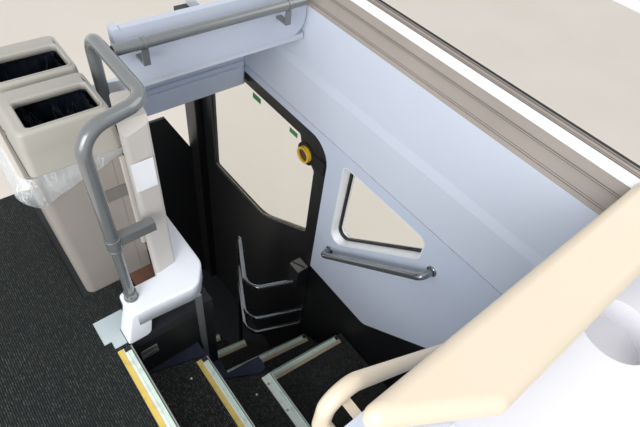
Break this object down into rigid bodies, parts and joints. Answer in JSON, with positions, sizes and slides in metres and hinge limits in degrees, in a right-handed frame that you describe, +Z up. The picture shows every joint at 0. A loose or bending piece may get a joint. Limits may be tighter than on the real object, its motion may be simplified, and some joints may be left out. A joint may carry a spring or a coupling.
{
  "type": "stairwell section of a double-decker coach",
  "caption": "Turning stairwell between the two decks of a coach, with its side wall, door, rails, partitions and a pair of litter bins whose hoods lift off.",
  "frame": {"origin": "on the underside of the lower floor, at the middle of the overall box in plan", "axes": "+Y forward in the coach, +X out to the side wall with the door, +Z up"},
  "size_m": [1.35, 2.284, 2.7322],
  "materials": {
    "floor_vinyl": "fine-grained vinyl",
    "carpet": "ribbed needle-felt",
    "frame_metal": "satin paint",
    "step_board": "textured board",
    "nosing_metal": "worn satin",
    "nosing_yellow": "gritted insert",
    "nosing_pale": "afterglow insert",
    "cheek_navy": "needle-felt facing",
    "dark_panel": "grained laminate",
    "post_grey": "anodised",
    "lining": "smooth laminate",
    "lining_top": "smooth laminate",
    "sill": "fine-grained",
    "sill_white": "gloss",
    "seal": "matt",
    "skin": "gloss paint",
    "door_dark": "satin paint",
    "glass": "clear",
    "ring_yellow": "gloss",
    "valve_brown": "matt",
    "bracket_black": "fine-grained",
    "flange_white": "satin",
    "partition": "smooth laminate",
    "cream": "satin",
    "tray_white": "satin",
    "rail_grey": "satin",
    "beam": "satin",
    "soffit": "smooth",
    "moulding": "satin",
    "bin": "fine-grained",
    "hood": "fine-grained",
    "film": "thin film",
    "column": "fine-grained",
    "strap_grey": "fine-grained",
    "board_brown": "matt"
  },
  "bodies": {
    "section": {"bin_bag_front": "film", "bin_bag_rear": "film", "bin_body": "bin", "bin_column": "column", "bin_straps": "strap_grey", "body_skin": "skin", "closing_panel": "dark_panel", "corner_moulding": "moulding", "corner_post": "post_grey", "door_frame": "door_dark", "door_glass": "glass", "door_guard_rail": "rail_grey", "door_leaf": "door_dark", "door_seal": "seal", "flight_side_panel": "dark_panel", "floor_beams": "frame_metal", "floor_patch": "board_brown", "floor_plate": "frame_metal", "front_beam": "beam", "front_partition": "partition", "headroom_cheek": "partition", "headroom_soffit": "soffit", "hinge_cover": "bracket_black", "loop_rail": "rail_grey", "lower_flight": "step_board", "lower_floor": "floor_vinyl", "lower_side_panel": "dark_panel", "nosing_glow_strips": "nosing_pale", "nosing_profiles": "nosing_metal", "nosing_yellow_strips": "nosing_yellow", "partition_cap": "cream", "partition_grab_rail": "cream", "partition_rail": "rail_grey", "pole_lower_part": "rail_grey", "quarter_window_frame": "flange_white", "quarter_window_glass": "glass", "quarter_window_seal": "seal", "rear_partition": "partition", "rear_tray": "tray_white", "side_lining_lower": "lining", "side_lining_upper": "lining_top", "sill_white_strip": "sill_white", "stair_cheeks": "cheek_navy", "stair_end_panel": "dark_panel", "tread_carpets": "carpet", "upper_carpet": "carpet", "upper_flight": "step_board", "upper_floor": "step_board", "valve_body": "valve_brown", "valve_bracket": "bracket_black", "valve_ring": "ring_yellow", "wall_grab_handle": "rail_grey", "well_side_panel": "dark_panel", "window_seal": "seal", "window_sill": "sill"},
    "front_hood": {"bin_hood_front": "hood"},
    "rear_hood": {"bin_hood_rear": "hood"}
  },
  "joints": [
    {"name": "front_hood_lift", "type": "slide", "parent": "section", "child": "front_hood", "axis": [0, 0, 1], "range_m": [0, 0.16]},
    {"name": "rear_hood_lift", "type": "slide", "parent": "section", "child": "rear_hood", "axis": [0, 0, 1], "range_m": [0, 0.16]}
  ]
}
